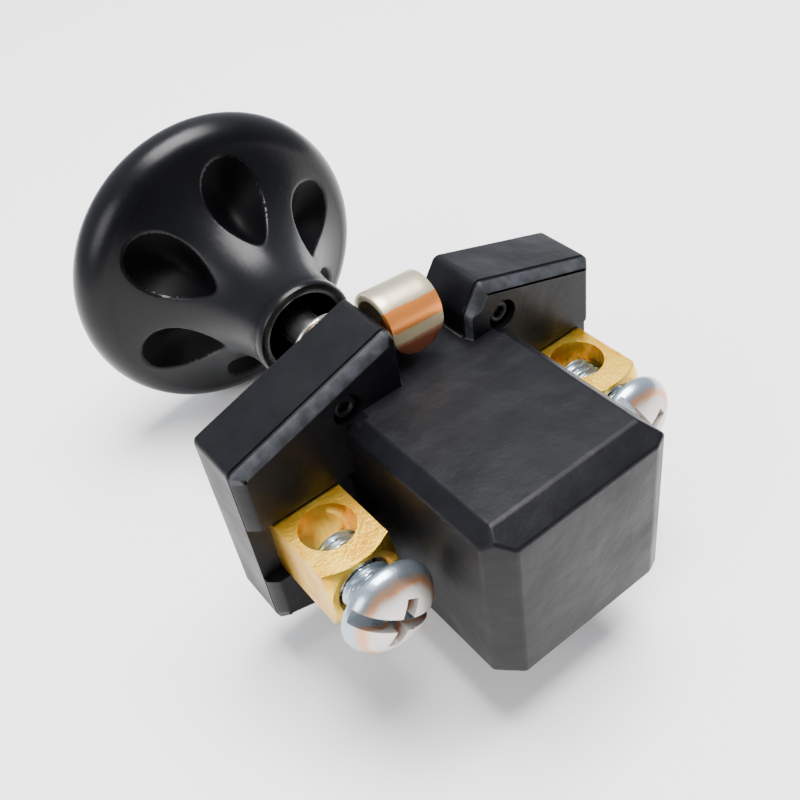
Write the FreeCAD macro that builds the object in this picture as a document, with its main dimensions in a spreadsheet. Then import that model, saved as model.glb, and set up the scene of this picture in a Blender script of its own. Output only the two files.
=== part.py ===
import FreeCAD, Part
import math
import os
import re
import Sketcher

# Push-pull switch with a fluted knob, a threaded panel bush and two screw terminals.
# Frame: origin on the spindle's axis where the strap meets the panel, +X towards one
# terminal, +Y rearwards along the spindle, +Z up.  Millimetres.

doc = FreeCAD.newDocument("PushPullSwitch")

# ---------------------------------------------------------------- driving sizes
SIZES = {
    # strap that joins the bush to the moulding
    "strap_thickness": (0.8, "nickel-plated strip"),
    "strap_width": (5.5, "width of the two clinched tongues"),
    "strap_shift": (-0.35, "sideways place of the tongues"),
    "seat_radius": (9.0, "round seat that bears on the panel"),
    "curl_radius": (2.8, "outer radius of a tongue's curl"),
    "curl_rise": (13.1, "height of the curl's centre"),
    "curl_setback": (0.9, "curl's front behind the seat"),
    "lean_start": (0.4, "notch's floor to where a tongue starts to lean back"),
    "tongue_end": (10.2, "height of the tongue's tip"),
    # moulding
    "flange_length": (40.0, "overall width of the moulding"),
    "flange_end_height": (19.7, "height of the flange at its ends"),
    "flange_peak_height": (30.3, "height of the flange beside the notches"),
    "flange_thickness": (6.9, "front face to rear face"),
    "notch_width": (7.6, "notch that each tongue lies in"),
    "notch_shift": (-1.0, "sideways place of the notches"),
    "block_width": (18.5, "contact housing, side to side"),
    "block_height": (18.0, "contact housing, top to bottom"),
    "block_depth": (19.0, "contact housing behind the flange"),
    "wall": (1.95, "housing wall"),
    "top_bevel_back": (2.3, "rear top bevel, front to back"),
    "top_bevel_down": (1.4, "rear top bevel, downwards"),
    "left_bevel": (2.0, "rear bevel on the +X side"),
    "right_bevel_side": (1.4, "rear bevel on the -X side, sideways"),
    "right_bevel_back": (0.6, "rear bevel on the -X side, front to back"),
    "long_bevel": (1.4, "bevel along the housing's top edges"),
    "channel_depth": (1.2, "channel that seats a terminal"),
    "channel_play": (0.3, "gap between a terminal and its channel's sides"),
    # insulating plate and its rivets
    "plate_thickness": (1.2, "closes the moulding's front"),
    "plate_margin": (2.4, "rim of moulding left around the plate at the ends"),
    "plate_play": (0.1, "gap around the plate"),
    "rivet_across": (8.57, "rivet's place from the middle, sideways"),
    "rivet_up": (9.9, "rivet's place from the middle, up or down"),
    "rivet_radius": (1.1, "rivet shank"),
    "rivet_head_radius": (1.9, "front head"),
    "rivet_head_height": (0.5, "front head"),
    "rivet_well_radius": (1.5, "well in the flange's rear face"),
    "rivet_well_depth": (1.0, "well in the flange's rear face"),
    # panel bush
    "bush_radius": (4.0, "M8 thread's outer radius"),
    "bush_length": (12.0, "free thread in front of the seat"),
    "bush_chamfer": (0.5, "lead-in at the bush's end"),
    "relief_length": (0.8, "thread run-out in front of the seat"),
    "relief_depth": (0.4, "thread run-out, below the thread's outer radius"),
    "pilot_step": (0.2, "bush in the strap's hole, past the thread's outer radius"),
    "pilot_setback": (0.15, "bush in the strap's hole, behind the seat"),
    "collar_radius": (5.4, "collar behind the strap"),
    # spindle
    "spindle_radius": (2.0, "round spindle"),
    "running_gap": (0.05, "radial clearance of sliding fits"),
    "travel": (8.0, "knob's push from out to in"),
    "clip_thickness": (0.8, "stop clip"),
    "clip_radius": (3.5, "stop clip"),
    "groove_radius": (1.6, "spindle's groove for the clip"),
    "stop_gap": (0.1, "clip to collar with the knob out"),
    "shoulder_place": (9.0, "spindle's shoulder behind the seat"),
    "stud_radius": (1.5, "spindle's rear stud"),
    "stud_play": (0.05, "rear stud to the pieces on it"),
    # contact bridge with knife ears
    "bridge_thickness": (0.8, "copper blade"),
    "bridge_height": (6.4, "blade, up and down"),
    "ear_across": (5.8, "middle of a knife ear from the axis"),
    "ear_length": (6.0, "knife ear in front of the bridge"),
    "carrier_flange": (2.0, "carrier's front flange"),
    "carrier_radius": (3.6, "carrier's front flange"),
    "sleeve_radius": (2.1, "carrier's sleeve through the blade"),
    "insulator_thickness": (1.2, "washer behind the blade"),
    "washer_thickness": (0.5, "steel washer"),
    "washer_radius": (3.0, "steel washer"),
    "nut_height": (2.0, "M3 nut"),
    "nut_across": (5.5, "M3 nut, across flats"),
    "stud_stand": (0.5, "stud past the nut"),
    # fixed jaws
    "jaw_sheet": (0.6, "phosphor bronze sheet"),
    "jaw_height": (5.0, "jaw, up and down"),
    "jaw_gap": (0.05, "blade to each jaw leaf"),
    "jaw_length": (7.0, "leaves behind the jaw's back"),
    "jaw_setback": (0.6, "plate to the jaw's back"),
    "tail_end_margin": (2.6, "tail past the terminal's axis"),
    # terminals
    "terminal_across": (14.58, "terminal's axis from the middle"),
    "terminal_drop": (0.64, "terminal's axis below the middle"),
    "terminal_width": (6.8, "brass bar"),
    "terminal_height": (6.6, "brass bar"),
    "terminal_reach": (8.05, "bar behind the flange's rear face"),
    "terminal_turn_radius": (3.45, "turned end face"),
    "terminal_turn_slope": (0.7, "turned end: setback per millimetre of radius"),
    "wire_hole_radius": (2.55, "wire hole, top to bottom"),
    "wire_hole_back": (3.2, "wire hole's axis behind the flange"),
    "spigot_radius": (1.7, "bar's front spigot"),
    "spigot_head_radius": (2.4, "spigot's riveted head"),
    "spigot_head_height": (0.5, "spigot's riveted head"),
    # clamp screws
    "screw_radius": (2.45, "M5 thread's outer radius"),
    "screw_length": (7.2, "shank"),
    "screw_head_radius": (4.45, "pan head"),
    "screw_head_height": (3.0, "pan head"),
    "screw_stand_left": (2.35, "bar's end to the +X screw's head"),
    "screw_stand_right": (1.35, "bar's end to the -X screw's head"),
    "screw_slot_width": (1.1, "driver slot"),
    "screw_slot_depth": (1.3, "driver slot"),
    # knob
    "knob_radius": (17.8, "largest radius"),
    "knob_reach": (34.0, "seat to the knob's widest ring"),
    "knob_dome": (4.6, "front face in front of the widest ring"),
    "neck_wall": (1.4, "wall of the neck round its mouth"),
    "neck_place": (14.8, "seat to the neck's rear end"),
    "crease_in": (2.6, "where the trumpet meets the rim, inside the largest radius"),
    "crease_back": (3.4, "crease behind the widest ring"),
    "rim_in": (2.6, "rim's rounding, towards the axis"),
    "rim_forward": (2.9, "rim's rounding, forward"),
    "mouth_clearance": (0.4, "counterbore round the bush, radial"),
    "mouth_play": (0.2, "bush's end to the counterbore's floor, knob in"),
    "insert_across": (6.0, "hexagonal brass insert, across flats"),
    "insert_length": (9.0, "brass insert"),
    "flute_count": (6.0, "finger hollows"),
    "flute_share": (0.532, "hollow's centre, share of the way out from the neck to the crease"),
    "flute_back": (7.2, "hollow's centre behind the widest ring"),
    "flute_width": (3.4, "hollow, half width"),
    "flute_length": (5.0, "hollow, half length"),
    "flute_depth": (3.0, "hollow, depth"),
    "flute_lean": (44.0, "hollow's lean from the radius, degrees"),
    "flute_phase": (21.4, "knob's turn: first hollow below the +X side, degrees"),
}

sheet = doc.addObject("Spreadsheet::Sheet", "Sizes")
for row, (alias, (value, note)) in enumerate(SIZES.items(), start=1):
    sheet.set(f"A{row}", alias)
    sheet.set(f"B{row}", str(value))
    sheet.set(f"C{row}", note)
    sheet.setAlias(f"B{row}", alias)
doc.recompute()

# named places worked out from the driving sizes
PLACES = {
    "flange_front": "strap_thickness",
    "flange_rear": "flange_front + flange_thickness",
    "housing_rear": "flange_rear + block_depth",
    "plate_rear": "flange_front + plate_thickness",
    "cavity_side": "block_width / 2 - wall",
    "cavity_up": "block_height / 2 - wall",
    "channel_floor": "flange_rear - channel_depth",
    "peak": "flange_peak_height / 2",
    "notch_floor": "block_height / 2",
    "notch_left": "notch_width / 2 + notch_shift",
    "notch_right": "notch_width / 2 - notch_shift",
    "lean_place": "notch_floor + lean_start",
    "curl_rear": "curl_setback + 2 * curl_radius",
    "plate_side": "flange_length / 2 - plate_margin",
    "plate_low": "flange_end_height / 2 - 1.4 * plate_margin",
    "plate_up": "rivet_up + rivet_radius + 0.9",
    "plate_shoulder": "rivet_across + rivet_radius + 0.5",
    "plate_notch_left": "notch_left + 1.1",
    "plate_notch_right": "notch_right + 1.1",
    "plate_notch_floor": "notch_floor - 1.1",
    "clip_front": "plate_rear + stop_gap",
    "bridge_front": "shoulder_place + carrier_flange",
    "bridge_rear": "bridge_front + bridge_thickness",
    "insulator_rear": "bridge_rear + insulator_thickness",
    "washer_rear": "insulator_rear + washer_thickness",
    "nut_rear": "washer_rear + nut_height",
    "spindle_rear": "nut_rear + stud_stand",
    "jaw_front": "plate_rear + jaw_setback",
    "jaw_rear": "jaw_front + jaw_sheet + jaw_length",
    "leaf_inner": "ear_across - bridge_thickness / 2 - jaw_gap",
    "leaf_outer": "ear_across + bridge_thickness / 2 + jaw_gap",
    "terminal_end": "flange_rear + terminal_reach",
    "wire_hole_place": "flange_rear + wire_hole_back",
    "mouth_floor": "bush_length + travel + mouth_play",
    "insert_front": "mouth_floor + insert_length",
    "mouth_radius": "bush_radius + mouth_clearance",
    "neck_radius": "mouth_radius + neck_wall",
    "crease_radius": "knob_radius - crease_in",
    "flute_place": "neck_radius + flute_share * (crease_radius - neck_radius)",
}


def size(text):
    """An expression on the sheet from plain words, with named places written out."""
    while True:
        wider = re.sub(r"[a-z_]+", lambda word: f"({PLACES[word[0]]})" if word[0] in PLACES else word[0], text)
        if wider == text:
            break
        text = wider
    return re.sub(r"[a-z_]+", lambda word: f"Sizes.{word[0]}" if word[0] in SIZES else word[0], text)


# ---------------------------------------------------------------- making helpers
PLANES = {"XY": ("XY_Plane", "", False), "XZ": ("XZ_Plane", "-", True), "YZ": ("YZ_Plane", "", False)}


def new_body(name):
    body = doc.addObject("PartDesign::Body", name)
    body.Label = name
    return body


def new_sketch(body, plane, low):
    """A sketch parallel to an origin plane, at the place `low` along the plane's row axis."""
    role, sign, _ = PLANES[plane]
    sketch = body.newObject("Sketcher::SketchObject", f"{body.Label}_sketch")
    support = next(f for f in body.Origin.OriginFeatures if f.Role == role)
    sketch.AttachmentSupport = [(support, "")]
    sketch.MapMode = "FlatFace"
    sketch.setExpression(".AttachmentOffset.Base.z", size(f"{sign}({low})"))
    return sketch


def pin_point(sketch, geometry, end, across, up):
    """Two dimensions that hold a point of the sketch, each bound to the sheet."""
    for kind, text in (("DistanceX", across), ("DistanceY", up)):
        index = sketch.addConstraint(Sketcher.Constraint(kind, -1, 1, geometry, end, number(text)))
        sketch.setExpression(f"Constraints[{index}]", size(text))


def number(text):
    """The present value of an expression on the sheet."""
    names = {alias: float(sheet.get(alias)) for alias in SIZES}
    return float(FreeCAD.Units.Quantity(re.sub(r"Sizes\.([a-z_]+)", lambda word: f"({names[word[1]]})", size(text))))


def outline(sketch, points):
    """A closed outline of pinned points.  A point is (across, up), or (across, up, radius, side)
    where an arc of that radius starts, bulging to the left (+1) or right (-1) of its chord."""
    first = sketch.GeometryCount
    places = [FreeCAD.Vector(number(point[0]), number(point[1]), 0) for point in points]
    for i, point in enumerate(points):
        start = places[i]
        end = places[(i + 1) % len(points)]
        if len(point) == 2:
            sketch.addGeometry(Part.LineSegment(start, end), False)
        else:
            chord = end - start
            radius = number(point[2])
            sagitta = radius - math.sqrt(radius**2 - (chord.Length / 2) ** 2)
            left = FreeCAD.Vector(-chord.y, chord.x, 0).normalize()
            middle = (start + end) * 0.5 + left * (sagitta * point[3])
            sketch.addGeometry(Part.Arc(start, middle, end), False)
    ends = [starts_and_ends(sketch, first + i, places[i]) for i in range(len(points))]
    for i, (start, end) in enumerate(ends):
        after = (i + 1) % len(points)
        sketch.addConstraint(Sketcher.Constraint("Coincident", first + i, end, first + after, ends[after][0]))
        pin_point(sketch, first + i, start, points[i][0], points[i][1])
    for i, point in enumerate(points):
        if len(point) > 2:
            bend = sketch.addConstraint(Sketcher.Constraint("Radius", first + i, number(point[2])))
            sketch.setExpression(f"Constraints[{bend}]", size(point[2]))


def starts_and_ends(sketch, geometry, start):
    """Which ends of a piece of an outline are its start and its finish: an arc may run backwards."""
    near = sketch.getPoint(geometry, 1)
    return (1, 2) if (near - start).Length < 1e-6 else (2, 1)


def ring(sketch, across, up, radius):
    """A circle with a pinned centre."""
    place = FreeCAD.Vector(number(across), number(up), 0)
    circle = sketch.addGeometry(Part.Circle(place, FreeCAD.Vector(0, 0, 1), number(radius)), False)
    pin_point(sketch, circle, 3, across, up)
    bend = sketch.addConstraint(Sketcher.Constraint("Radius", circle, number(radius)))
    sketch.setExpression(f"Constraints[{bend}]", size(radius))


def extrude(body, plane, low, length, draw, cut=False):
    """Adds to a body, or cuts from it, the drawn outline from `low` along the plane's row axis."""
    sketch = new_sketch(body, plane, low)
    draw(sketch)
    backwards = PLANES[plane][2]
    kind = "PartDesign::Pocket" if cut else "PartDesign::Pad"
    feature = body.newObject(kind, f"{body.Label}_{'pocket' if cut else 'pad'}")
    feature.Profile = sketch
    feature.setExpression("Length", size(length))
    feature.Reversed = (not backwards) if cut else backwards
    return feature


def turn(body, points, cut=False):
    """Adds to a body, or cuts from it, the outline (radius, place along the axis) turned about Y."""
    sketch = new_sketch(body, "XY", "0")
    outline(sketch, points)
    kind = "PartDesign::Groove" if cut else "PartDesign::Revolution"
    feature = body.newObject(kind, f"{body.Label}_{'groove' if cut else 'turned'}")
    feature.Profile = sketch
    feature.ReferenceAxis = (sketch, ["V_Axis"])
    feature.Angle = 360
    return feature


def box_outline(left, right, low, high):
    return lambda sketch: outline(sketch, [(left, low), (right, low), (right, high), (left, high)])


def mirrored_down(upper):
    """A closed outline from its points above the middle, counter-clockwise from the right."""
    return upper + [(across, f"-({up})") for across, up in reversed(upper)]


def place_body(body, across="0", along="0", up="0"):
    for axis, text in zip("xyz", (across, along, up)):
        body.setExpression(f".Placement.Base.{axis}", size(text))


# ---------------------------------------------------------------- phenolic moulding
def body_moulding():
    """Flange with end channels and notches, and the housing of the contacts behind it."""
    body = new_body("body_moulding")
    flange = mirrored_down([
        ("flange_length / 2", "flange_end_height / 2"),
        ("notch_left", "peak"),
        ("notch_left", "notch_floor"),
        ("-(notch_right)", "notch_floor"),
        ("-(notch_right)", "peak"),
        ("-flange_length / 2", "flange_end_height / 2"),
    ])
    extrude(body, "XZ", "flange_front", "flange_thickness", lambda s: outline(s, flange))
    side, top = "block_width / 2", "block_height / 2"
    housing = [
        (side, f"-{top}"),
        (side, f"{top} - long_bevel"),
        (f"{side} - long_bevel", top),
        (f"long_bevel - {side}", top),
        (f"-{side}", f"{top} - long_bevel"),
        (f"-{side}", f"-{top}"),
    ]
    # the housing starts half-way through the flange so that the two are one piece
    extrude(body, "XZ", "flange_rear - 0.5", "block_depth + 0.5", lambda s: outline(s, housing))

    top_bevel = [
        ("housing_rear - top_bevel_back", top),
        ("housing_rear", f"{top} - top_bevel_down"),
        ("housing_rear + 1", f"{top} - top_bevel_down"),
        ("housing_rear + 1", f"{top} + 1"),
        ("housing_rear - top_bevel_back", f"{top} + 1"),
    ]
    extrude(body, "YZ", f"-{side} - 1", "block_width + 2", lambda s: outline(s, top_bevel), cut=True)
    for sign, sideways, back in (("", "left_bevel", "left_bevel"), ("-", "right_bevel_side", "right_bevel_back")):
        side_bevel = [
            (f"{sign}({side})", f"housing_rear - {back}"),
            (f"{sign}({side} - {sideways})", "housing_rear"),
            (f"{sign}({side} - {sideways})", "housing_rear + 1"),
            (f"{sign}({side} + 1)", "housing_rear + 1"),
            (f"{sign}({side} + 1)", f"housing_rear - {back}"),
        ]
        extrude(body, "XY", f"-{top} - 1", "block_height + 2", lambda s: outline(s, side_bevel), cut=True)

    # hollow for the contacts, open at the front, and the recess that the plate drops into
    extrude(body, "XZ", "flange_front", "housing_rear - wall - flange_front",
            box_outline("-(cavity_side)", "cavity_side", "-(cavity_up)", "cavity_up"), cut=True)
    extrude(body, "XZ", "flange_front", "plate_thickness", lambda s: outline(s, plate_outline("0")), cut=True)

    for sign in ("", "-"):
        # channel that seats the terminal, and the way out for its spigot and the contact's tail
        low = "-terminal_drop - terminal_height / 2 - channel_play"
        high = "terminal_height / 2 - terminal_drop + channel_play"
        ends = [f"{sign}({side})", f"{sign}(flange_length / 2 + 1)"]
        extrude(body, "XZ", "channel_floor", "channel_depth", box_outline(*ends, low, high), cut=True)
        tail_end = f"{sign}(terminal_across + tail_end_margin + plate_play)"
        extrude(body, "XZ", "plate_rear", "jaw_setback + jaw_sheet",
                box_outline("0", tail_end, "-(jaw_height / 2 + plate_play) - terminal_drop",
                            "jaw_height / 2 + plate_play - terminal_drop"), cut=True)
        extrude(body, "XZ", "plate_rear", "channel_floor - plate_rear",
                lambda s: ring(s, f"{sign}terminal_across", "-terminal_drop", "spigot_radius"), cut=True)
        for lift in ("", "-"):
            place = (f"{sign}rivet_across", f"{lift}rivet_up")
            extrude(body, "XZ", "plate_rear", "flange_rear - plate_rear",
                    lambda s: ring(s, *place, "rivet_radius"), cut=True)
            extrude(body, "XZ", "flange_rear - rivet_well_depth", "rivet_well_depth",
                    lambda s: ring(s, *place, "rivet_well_radius"), cut=True)
    return body


def plate_outline(play):
    """The insulating plate's outline, drawn in from the moulding's recess by `play`."""
    return mirrored_down([
        (f"plate_side - {play}", f"plate_low - {play}"),
        (f"plate_shoulder - {play}", f"plate_up - {play}"),
        (f"plate_notch_left + {play}", f"plate_up - {play}"),
        (f"plate_notch_left + {play}", f"plate_notch_floor - {play}"),
        (f"-(plate_notch_right + {play})", f"plate_notch_floor - {play}"),
        (f"-(plate_notch_right + {play})", f"plate_up - {play}"),
        (f"-(plate_shoulder - {play})", f"plate_up - {play}"),
        (f"-(plate_side - {play})", f"plate_low - {play}"),
    ])


# ---------------------------------------------------------------- insulating plate and rivets
def insulating_plate():
    """Laminate plate that closes the moulding's front, with holes for the bush and the rivets."""
    body = new_body("insulating_plate")
    extrude(body, "XZ", "flange_front", "plate_thickness", lambda s: outline(s, plate_outline("plate_play")))
    extrude(body, "XZ", "flange_front", "plate_thickness",
            lambda s: ring(s, "0", "0", "collar_radius + plate_play"), cut=True)
    for sign in ("", "-"):
        for lift in ("", "-"):
            extrude(body, "XZ", "flange_front", "plate_thickness",
                    lambda s: ring(s, f"{sign}rivet_across", f"{lift}rivet_up", "rivet_radius"), cut=True)
    return body


def cover_rivet(name, sign, lift):
    """Tubular rivet: head in front of the plate, rolled end in the well of the flange."""
    body = new_body(name)
    well_floor = "flange_rear - rivet_well_depth"
    turn(body, [
        ("0", "flange_front - rivet_head_height"),
        ("rivet_head_radius", "flange_front - rivet_head_height"),
        ("rivet_head_radius", "flange_front"),
        ("rivet_radius", "flange_front"),
        ("rivet_radius", well_floor),
        ("rivet_well_radius - 0.1", well_floor),
        ("rivet_well_radius - 0.1", f"{well_floor} + rivet_head_height"),
        ("rivet_radius / 2", f"{well_floor} + rivet_head_height"),
        ("rivet_radius / 2", well_floor + " - 1.5"),
        ("0", well_floor + " - 1.5"),
    ])
    place_body(body, f"{sign}rivet_across", "0", f"{lift}rivet_up")
    return body


# ---------------------------------------------------------------- strap and panel bush
def mount_strap():
    """Strip across the front, round where the panel bears, its ends curled back over the notches."""
    body = new_body("mount_strap")
    across = "strap_shift - strap_width / 2"
    outer, inner = "curl_radius", "(curl_radius - strap_thickness)"
    for sign, side in (("", 1), ("-", -1)):
        # each arm: up the front, leaning back past the notch's floor, half round, down to its tip
        arm = [
            ("0", f"{sign}1"),
            ("0", f"{sign}(lean_place)"),
            ("curl_setback", f"{sign}curl_rise", outer, side),
            ("curl_rear", f"{sign}curl_rise"),
            ("curl_rear", f"{sign}tongue_end"),
            ("curl_rear - strap_thickness", f"{sign}tongue_end"),
            ("curl_rear - strap_thickness", f"{sign}curl_rise", inner, -side),
            ("curl_setback + strap_thickness", f"{sign}curl_rise"),
            ("strap_thickness", f"{sign}(lean_place)"),
            ("strap_thickness", f"{sign}1"),
        ]
        extrude(body, "YZ", across, "strap_width", lambda s: half_round_outline(s, arm))
    extrude(body, "XZ", "0", "strap_thickness", lambda s: ring(s, "0", "0", "seat_radius"))
    extrude(body, "XZ", "0", "strap_thickness", lambda s: ring(s, "0", "0", "bush_radius + pilot_step"), cut=True)
    return body


def half_round_outline(sketch, points):
    """An outline whose arcs are half circles, each split at its crown so that both halves are pinned."""
    split = []
    for i, point in enumerate(points):
        if len(point) == 2:
            split.append(point)
            continue
        across, up, radius, side = point
        towards = 1 if number(points[i + 1][0]) > number(across) else -1
        above = "+" if number(up) > 0 else "-"
        split.append((across, up, radius, side))
        split.append((f"{across} {'+' if towards > 0 else '-'} {radius}", f"{up} {above} {radius}", radius, side))
    outline(sketch, split)


def threaded_bush():
    """M8 bush: thread and its run-out in front of the strap, collar behind it, spindle bore."""
    body = new_body("threaded_bush")
    bore = "spindle_radius + running_gap"
    turn(body, [
        (bore, "-bush_length"),
        ("bush_radius - bush_chamfer", "-bush_length"),
        ("bush_radius", "bush_chamfer - bush_length"),
        ("bush_radius", "-relief_length"),
        ("bush_radius - relief_depth", "-relief_length"),
        ("bush_radius - relief_depth", "pilot_setback"),
        ("bush_radius + pilot_step", "pilot_setback"),
        ("bush_radius + pilot_step", "flange_front"),
        ("collar_radius", "flange_front"),
        ("collar_radius", "plate_rear"),
        (bore, "plate_rear"),
    ])
    return body


# ---------------------------------------------------------------- spindle and what it carries
def spindle():
    """Round steel spindle: front end in the knob's insert, groove for the clip, rear stud."""
    body = new_body("spindle")
    turn(body, [
        ("0", "-(insert_front) + 0.5"),
        ("spindle_radius", "-(insert_front) + 0.5"),
        ("spindle_radius", "clip_front"),
        ("groove_radius", "clip_front"),
        ("groove_radius", "clip_front + clip_thickness"),
        ("spindle_radius", "clip_front + clip_thickness"),
        ("spindle_radius", "shoulder_place"),
        ("stud_radius", "shoulder_place"),
        ("stud_radius", "spindle_rear"),
        ("0", "spindle_rear"),
    ])
    return body


def ring_piece(name, inner, outer, front, rear):
    """A plain round washer between two places along the axis."""
    body = new_body(name)
    turn(body, [(inner, front), (outer, front), (outer, rear), (inner, rear)])
    return body


def stop_clip():
    """Open clip in the spindle's groove, which stops the spindle against the bush's collar."""
    body = ring_piece("stop_clip", "groove_radius", "clip_radius", "clip_front", "clip_front + clip_thickness")
    extrude(body, "XZ", "clip_front", "clip_thickness",
            box_outline("-groove_radius * 0.8", "groove_radius * 0.8", "-clip_radius - 1", "0"), cut=True)
    return body


def blade_carrier():
    """Insulating carrier: flange against the spindle's shoulder, sleeve through the blade."""
    body = new_body("blade_carrier")
    turn(body, [
        ("stud_radius + stud_play", "shoulder_place"),
        ("carrier_radius", "shoulder_place"),
        ("carrier_radius", "bridge_front"),
        ("sleeve_radius", "bridge_front"),
        ("sleeve_radius", "bridge_rear"),
        ("stud_radius + stud_play", "bridge_rear"),
    ])
    return body


def contact_bridge():
    """Copper bridge: a cross plate with a knife ear bent forward at each end."""
    body = new_body("contact_bridge")
    outer = "ear_across + bridge_thickness / 2"
    inner = "ear_across - bridge_thickness / 2"
    ear_front = "bridge_front - ear_length"
    extrude(body, "XY", "-bridge_height / 2", "bridge_height", lambda s: outline(s, [
        (outer, ear_front), (outer, "bridge_rear"), (f"-({outer})", "bridge_rear"), (f"-({outer})", ear_front),
        (f"-({inner})", ear_front), (f"-({inner})", "bridge_front"), (inner, "bridge_front"), (inner, ear_front),
    ]))
    extrude(body, "XZ", "bridge_front", "bridge_thickness",
            lambda s: ring(s, "0", "0", "sleeve_radius"), cut=True)
    return body


def bridge_nut():
    """M3 nut that clamps the blade's stack on the spindle's stud."""
    body = new_body("bridge_nut")
    extrude(body, "XZ", "washer_rear", "nut_height", lambda s: outline(s, hexagon_outline("nut_across")))
    extrude(body, "XZ", "washer_rear", "nut_height", lambda s: ring(s, "0", "0", "stud_radius"), cut=True)
    return body


# ---------------------------------------------------------------- fixed contacts and terminals
def fixed_contact(name, sign):
    """Sprung jaw for one knife ear, with a tail under the terminal's riveted spigot."""
    body = new_body(name)
    tail_end = "terminal_across + tail_end_margin"
    back = "jaw_front + jaw_sheet"
    outer, inner = "leaf_outer", "leaf_inner"
    comb = [
        (f"{inner} - jaw_sheet", "jaw_front"), (tail_end, "jaw_front"), (tail_end, back),
        (f"{outer} + jaw_sheet", back), (f"{outer} + jaw_sheet", "jaw_rear"), (outer, "jaw_rear"),
        (outer, back), (inner, back), (inner, "jaw_rear"), (f"{inner} - jaw_sheet", "jaw_rear"),
    ]
    signed = [(f"{sign}({across})", along) for across, along in comb]
    extrude(body, "XY", "-jaw_height / 2 - terminal_drop", "jaw_height", lambda s: outline(s, signed))
    extrude(body, "XZ", "jaw_front", "jaw_sheet",
            lambda s: ring(s, f"{sign}terminal_across", "-terminal_drop", "spigot_radius"), cut=True)
    return body


def terminal_block(name, sign):
    """Square brass bar: turned end, tapped for the clamp screw, wire hole from top to bottom."""
    body = new_body(name)
    half_width, half_height = "terminal_width / 2", "terminal_height / 2"
    extrude(body, "XZ", "channel_floor", "terminal_end - channel_floor",
            box_outline(f"-{half_width}", half_width, f"-{half_height}", half_height))
    # the turned end takes the bar's four corners off
    setback = "(terminal_width - terminal_turn_radius) * terminal_turn_slope"
    turn(body, [
        ("terminal_turn_radius", "terminal_end"),
        ("terminal_width", f"terminal_end - {setback}"),
        ("terminal_width", "terminal_end + 1"),
        ("terminal_turn_radius", "terminal_end + 1"),
    ], cut=True)
    head_front = "jaw_front - spigot_head_height"
    turn(body, [
        ("0", head_front),
        ("spigot_head_radius", head_front),
        ("spigot_head_radius", "jaw_front"),
        ("spigot_radius", "jaw_front"),
        ("spigot_radius", "channel_floor"),
        ("0", "channel_floor"),
    ])
    extrude(body, "XZ", "wire_hole_place - wire_hole_radius", "terminal_end + 1 - wire_hole_place + wire_hole_radius",
            lambda s: ring(s, "0", "0", "screw_radius + running_gap"), cut=True)
    extrude(body, "XY", f"-{half_height} - 1", "terminal_height + 2",
            lambda s: ring(s, "0", "wire_hole_place", "wire_hole_radius"), cut=True)
    place_body(body, f"{sign}terminal_across", "0", "-terminal_drop")
    return body


def clamp_screw(name, sign, stand):
    """M5 pan-head screw that presses the wire in its hole."""
    body = new_body(name)
    seat = f"terminal_end + {stand}"
    turn(body, [
        ("0", f"{seat} - screw_length"),
        ("screw_radius - 0.5", f"{seat} - screw_length"),
        ("screw_radius", f"{seat} - screw_length + 0.5"),
        ("screw_radius", seat),
        ("screw_head_radius - 0.4", seat),
        ("screw_head_radius", f"{seat} + 0.5", "screw_head_radius * 1.05", -1),
        ("screw_head_radius * 0.45", f"{seat} + screw_head_height"),
        ("0", f"{seat} + screw_head_height"),
    ])
    extrude(body, "XZ", f"{seat} + screw_head_height - screw_slot_depth", "screw_slot_depth + 1",
            box_outline("-screw_head_radius - 1", "screw_head_radius + 1",
                        "-screw_slot_width / 2", "screw_slot_width / 2"), cut=True)
    place_body(body, f"{sign}terminal_across", "0", "-terminal_drop")
    return body


# ---------------------------------------------------------------- knob
def knob():
    """Trumpet-shaped phenolic knob with six finger hollows, moulded round a brass insert."""
    body = new_body("knob")
    edge, dome = "(knob_radius - rim_in)", "(knob_dome - rim_forward)"
    turn(body, [
        ("0", "-neck_place"),
        ("neck_radius - 0.5", "-neck_place"),
        ("neck_radius", "-neck_place - 0.5"),
        ("neck_radius", "-neck_place - 1", "0.97 * (knob_reach - crease_back - neck_place - 0.7)", -1),
        ("crease_radius", "crease_back - knob_reach", "(crease_in^2 + crease_back^2) / 2 / crease_in", 1),
        ("knob_radius", "-knob_reach", "(rim_in^2 + rim_forward^2) / 2 / rim_in", 1),
        (edge, "-knob_reach - rim_forward", f"({edge}^2 + {dome}^2) / 2 / {dome}", 1),
        ("0", "-knob_reach - knob_dome"),
    ])
    turn(body, [
        ("0", "-(mouth_floor)"),
        ("mouth_radius", "-(mouth_floor)"),
        ("mouth_radius", "-neck_place + 1"),
        ("0", "-neck_place + 1"),
    ], cut=True)
    extrude(body, "XZ", "-(insert_front)", "insert_length + 1",
            lambda s: outline(s, hexagon_outline("insert_across")), cut=True)

    # finger hollows: one ellipsoid set into the trumpet, repeated round the axis
    hollow = body.newObject("PartDesign::SubtractiveEllipsoid", "knob_hollow")
    for name, text in (("Radius1", "flute_width"), ("Radius2", "flute_length"), ("Radius3", "flute_depth")):
        hollow.setExpression(name, size(text))
    hollow.Placement.Rotation = FreeCAD.Rotation(FreeCAD.Vector(0, 0, -1), 42)
    hollow.setExpression(".Placement.Rotation.Angle", size("flute_lean"))
    hollow.setExpression(".Placement.Base.x", size("flute_place"))
    hollow.setExpression(".Placement.Base.y", size("flute_back - knob_reach"))
    around = body.newObject("PartDesign::PolarPattern", "knob_hollows")
    around.Originals = [hollow]
    around.Axis = (next(f for f in body.Origin.OriginFeatures if f.Role == "Y_Axis"), [""])
    around.Angle = 360
    around.setExpression("Occurrences", size("flute_count"))
    body.Tip = around
    turn_body(body)
    return body


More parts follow.
